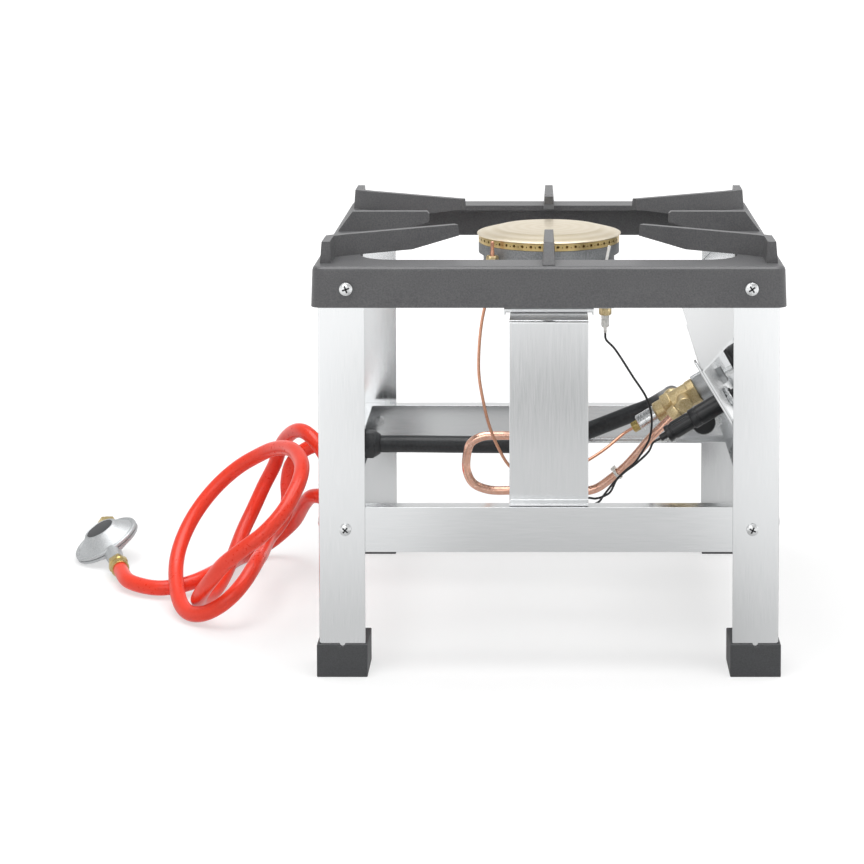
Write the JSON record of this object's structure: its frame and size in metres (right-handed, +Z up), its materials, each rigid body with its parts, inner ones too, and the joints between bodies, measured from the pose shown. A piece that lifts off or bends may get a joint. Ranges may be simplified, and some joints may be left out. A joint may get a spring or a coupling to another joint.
{
  "type": "stock pot range",
  "caption": "Low square stock pot range with a brass ring burner, skirted pan grate, sloping control panel, and a gas hose with regulator.",
  "frame": {"origin": "on the floor, under the middle of the stand", "axes": "+Z up, +Y towards the rear bar, +X towards the control panel"},
  "size_m": [0.6699, 0.4066, 0.3682],
  "materials": {
    "enamel": "dark grey textured enamel",
    "stainless": "satin stainless sheet",
    "sheet_steel": "plain light grey sheet",
    "cap_plastic": "dark grey moulded plastic",
    "zinc": "bright zinc plate",
    "cast_iron": "rough grey casting",
    "brass": "turned brass",
    "copper": "drawn copper",
    "black_pipe": "black paint",
    "black_plastic": "black moulded plastic",
    "grey_cast": "die-cast light alloy",
    "ceramic": "white glazed ceramic",
    "wire_black": "black insulation",
    "white_nylon": "white nylon",
    "hose_red": "red-orange rubber, smooth"
  },
  "bodies": {
    "stand": {"top_grate": "enamel", "leg_front_left": "stainless", "leg_front_right": "stainless", "leg_rear_left": "stainless", "leg_rear_right": "stainless", "crossbar_front": "stainless", "crossbar_rear": "stainless", "crossbar_left": "stainless", "crossbar_right": "stainless", "burner_bridge": "stainless", "burner_plate": "stainless", "control_panel": "stainless", "valve_plate": "sheet_steel", "foot_cap_front_left": "cap_plastic", "foot_cap_front_right": "cap_plastic", "foot_cap_rear_left": "cap_plastic", "foot_cap_rear_right": "cap_plastic", "bar_screw_front_left": "zinc", "bar_screw_front_right": "zinc", "bar_screw_rear_left": "zinc", "bar_screw_rear_right": "zinc", "bar_screw_front_left_side": "zinc", "bar_screw_front_right_side": "zinc", "bar_screw_rear_left_side": "zinc", "bar_screw_rear_right_side": "zinc", "rim_screw_front_left": "zinc", "rim_screw_front_right": "zinc", "rim_screw_rear_left": "zinc", "rim_screw_rear_right": "zinc", "igniter_nut": "zinc", "burner_body": "cast_iron", "injector_elbow": "brass", "valve_body": "brass", "outlet_nut": "brass", "thermocouple_nut": "brass", "electrode_nut": "brass", "inlet_connector": "brass", "inlet_ferrule": "brass", "hose_nut": "brass", "copper_gas_pipe": "copper", "thermocouple": "copper", "supply_pipe": "black_pipe", "supply_nut": "black_pipe", "igniter_body": "black_plastic", "valve_bonnet": "grey_cast", "magnet_unit": "grey_cast", "regulator_body": "grey_cast", "regulator_cover": "grey_cast", "ignition_electrode": "ceramic", "ignition_wire": "wire_black", "cable_tie": "white_nylon", "gas_hose": "hose_red"},
    "valve_spindle": {"valve_spindle": "zinc"},
    "control_knob": {"control_knob": "black_plastic"},
    "igniter_button": {"igniter_button": "black_plastic"},
    "burner_ring": {"burner_ring": "brass"},
    "burner_lid": {"burner_lid": "brass"},
    "regulator_nut": {"regulator_inlet_nut": "brass"}
  },
  "joints": [
    {"name": "valve_push", "type": "slide", "parent": "stand", "child": "valve_spindle", "axis": [-0.8568, 0, -0.5156], "range_m": [0, 0.004], "stiffness_N_per_m": 300, "springref_m": -0.002},
    {"name": "knob_turn", "type": "hinge", "parent": "valve_spindle", "child": "control_knob", "pos_m": [0.15957, 0.01, 0.21172], "axis": [0.8568, 0, 0.5156], "range_deg": [0, 200]},
    {"name": "igniter_push", "type": "slide", "parent": "stand", "child": "igniter_button", "axis": [-0.8568, 0, -0.5156], "range_m": [0, 0.005], "stiffness_N_per_m": 400, "springref_m": -0.001},
    {"name": "ring_lift", "type": "slide", "parent": "stand", "child": "burner_ring", "axis": [0, 0, 1], "range_m": [0, 0.04]},
    {"name": "lid_lift", "type": "slide", "parent": "burner_ring", "child": "burner_lid", "axis": [0, 0, 1], "range_m": [0, 0.04]},
    {"name": "bottle_nut_turn", "type": "hinge", "parent": "stand", "child": "regulator_nut", "pos_m": [-0.43736, 0.13641, 0.01519], "axis": [0.2322, -0.9665, -0.1092], "continuous": true}
  ]
}
